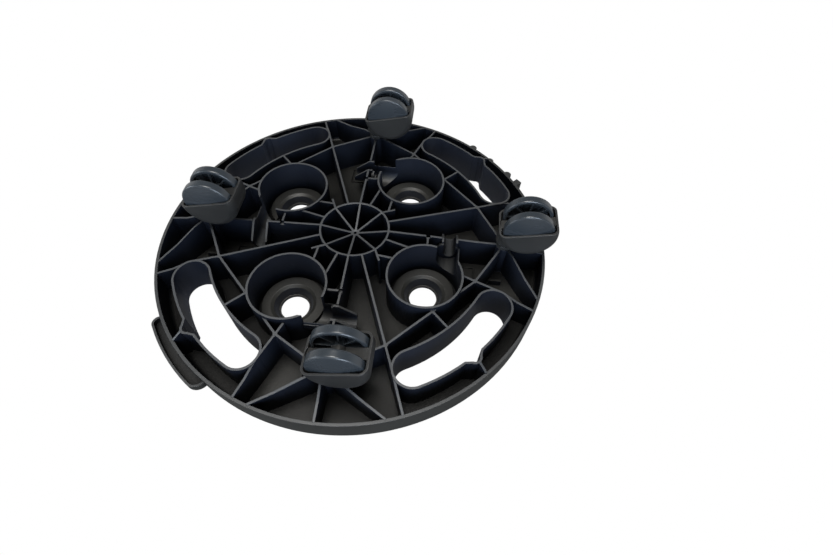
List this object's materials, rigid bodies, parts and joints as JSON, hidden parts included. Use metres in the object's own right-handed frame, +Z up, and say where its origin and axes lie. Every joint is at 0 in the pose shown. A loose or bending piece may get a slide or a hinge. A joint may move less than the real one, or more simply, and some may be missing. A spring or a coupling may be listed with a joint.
{
  "type": "furniture dolly",
  "caption": "Low round moving dolly: a ribbed black plastic deck with hand slots and round cups, carried on plug-in hooded twin-wheel swivel casters.",
  "frame": {"origin": "on the floor, under the centre of the deck", "axes": "+Z up out of the top face; +X through the socket of caster 1, towards which the casters trail at rest"},
  "size_m": [0.3805, 0.38, 0.0945],
  "materials": {
    "deck": "moulded, fine grain",
    "caster_plastic": "satin moulded",
    "wheel_plastic": "smooth, slightly glossy",
    "steel": "zinc plated"
  },
  "bodies": {
    "deck": {"deck": "deck"},
    "caster_1_stem": {"stem_1": "caster_plastic", "kingpin_1": "steel", "retaining_ring_1": "steel", "swivel_bush_1": "caster_plastic"},
    "caster_1_fork": {"fork_1": "caster_plastic", "hood_1": "caster_plastic", "axle_1": "steel"},
    "caster_1_wheel_left": {"wheel_left_1": "wheel_plastic"},
    "caster_1_wheel_right": {"wheel_right_1": "wheel_plastic"},
    "caster_2_stem": {"stem_2": "caster_plastic", "kingpin_2": "steel", "retaining_ring_2": "steel", "swivel_bush_2": "caster_plastic"},
    "caster_2_fork": {"fork_2": "caster_plastic", "hood_2": "caster_plastic", "axle_2": "steel"},
    "caster_2_wheel_left": {"wheel_left_2": "wheel_plastic"},
    "caster_2_wheel_right": {"wheel_right_2": "wheel_plastic"},
    "caster_3_stem": {"stem_3": "caster_plastic", "kingpin_3": "steel", "retaining_ring_3": "steel", "swivel_bush_3": "caster_plastic"},
    "caster_3_fork": {"fork_3": "caster_plastic", "hood_3": "caster_plastic", "axle_3": "steel"},
    "caster_3_wheel_left": {"wheel_left_3": "wheel_plastic"},
    "caster_3_wheel_right": {"wheel_right_3": "wheel_plastic"},
    "caster_4_stem": {"stem_4": "caster_plastic", "kingpin_4": "steel", "retaining_ring_4": "steel", "swivel_bush_4": "caster_plastic"},
    "caster_4_fork": {"fork_4": "caster_plastic", "hood_4": "caster_plastic", "axle_4": "steel"},
    "caster_4_wheel_left": {"wheel_left_4": "wheel_plastic"},
    "caster_4_wheel_right": {"wheel_right_4": "wheel_plastic"}
  },
  "joints": [
    {"name": "caster_1_pull_out", "type": "slide", "parent": "deck", "child": "caster_1_stem", "axis": [0, 0, -1], "range_m": [0, 0.026]},
    {"name": "caster_1_swivel", "type": "hinge", "parent": "caster_1_stem", "child": "caster_1_fork", "pos_m": [0.148, 0, 0.048], "axis": [0, 0, 1], "continuous": true},
    {"name": "caster_1_wheel_left", "type": "hinge", "parent": "caster_1_fork", "child": "caster_1_wheel_left", "pos_m": [0.164, 0, 0.023], "axis": [0, 1, 0], "continuous": true},
    {"name": "caster_1_wheel_right", "type": "hinge", "parent": "caster_1_fork", "child": "caster_1_wheel_right", "pos_m": [0.164, 0, 0.023], "axis": [0, 1, 0], "continuous": true},
    {"name": "caster_2_pull_out", "type": "slide", "parent": "deck", "child": "caster_2_stem", "axis": [0, 0, -1], "range_m": [0, 0.026]},
    {"name": "caster_2_swivel", "type": "hinge", "parent": "caster_2_stem", "child": "caster_2_fork", "pos_m": [0, 0.148, 0.048], "axis": [0, 0, 1], "continuous": true},
    {"name": "caster_2_wheel_left", "type": "hinge", "parent": "caster_2_fork", "child": "caster_2_wheel_left", "pos_m": [0.016, 0.148, 0.023], "axis": [0, 1, 0], "continuous": true},
    {"name": "caster_2_wheel_right", "type": "hinge", "parent": "caster_2_fork", "child": "caster_2_wheel_right", "pos_m": [0.016, 0.148, 0.023], "axis": [0, 1, 0], "continuous": true},
    {"name": "caster_3_pull_out", "type": "slide", "parent": "deck", "child": "caster_3_stem", "axis": [0, 0, -1], "range_m": [0, 0.026]},
    {"name": "caster_3_swivel", "type": "hinge", "parent": "caster_3_stem", "child": "caster_3_fork", "pos_m": [-0.148, 0, 0.048], "axis": [0, 0, 1], "continuous": true},
    {"name": "caster_3_wheel_left", "type": "hinge", "parent": "caster_3_fork", "child": "caster_3_wheel_left", "pos_m": [-0.132, 0, 0.023], "axis": [0, 1, 0], "continuous": true},
    {"name": "caster_3_wheel_right", "type": "hinge", "parent": "caster_3_fork", "child": "caster_3_wheel_right", "pos_m": [-0.132, 0, 0.023], "axis": [0, 1, 0], "continuous": true},
    {"name": "caster_4_pull_out", "type": "slide", "parent": "deck", "child": "caster_4_stem", "axis": [0, 0, -1], "range_m": [0, 0.026]},
    {"name": "caster_4_swivel", "type": "hinge", "parent": "caster_4_stem", "child": "caster_4_fork", "pos_m": [0, -0.148, 0.048], "axis": [0, 0, 1], "continuous": true},
    {"name": "caster_4_wheel_left", "type": "hinge", "parent": "caster_4_fork", "child": "caster_4_wheel_left", "pos_m": [0.016, -0.148, 0.023], "axis": [0, 1, 0], "continuous": true},
    {"name": "caster_4_wheel_right", "type": "hinge", "parent": "caster_4_fork", "child": "caster_4_wheel_right", "pos_m": [0.016, -0.148, 0.023], "axis": [0, 1, 0], "continuous": true}
  ]
}
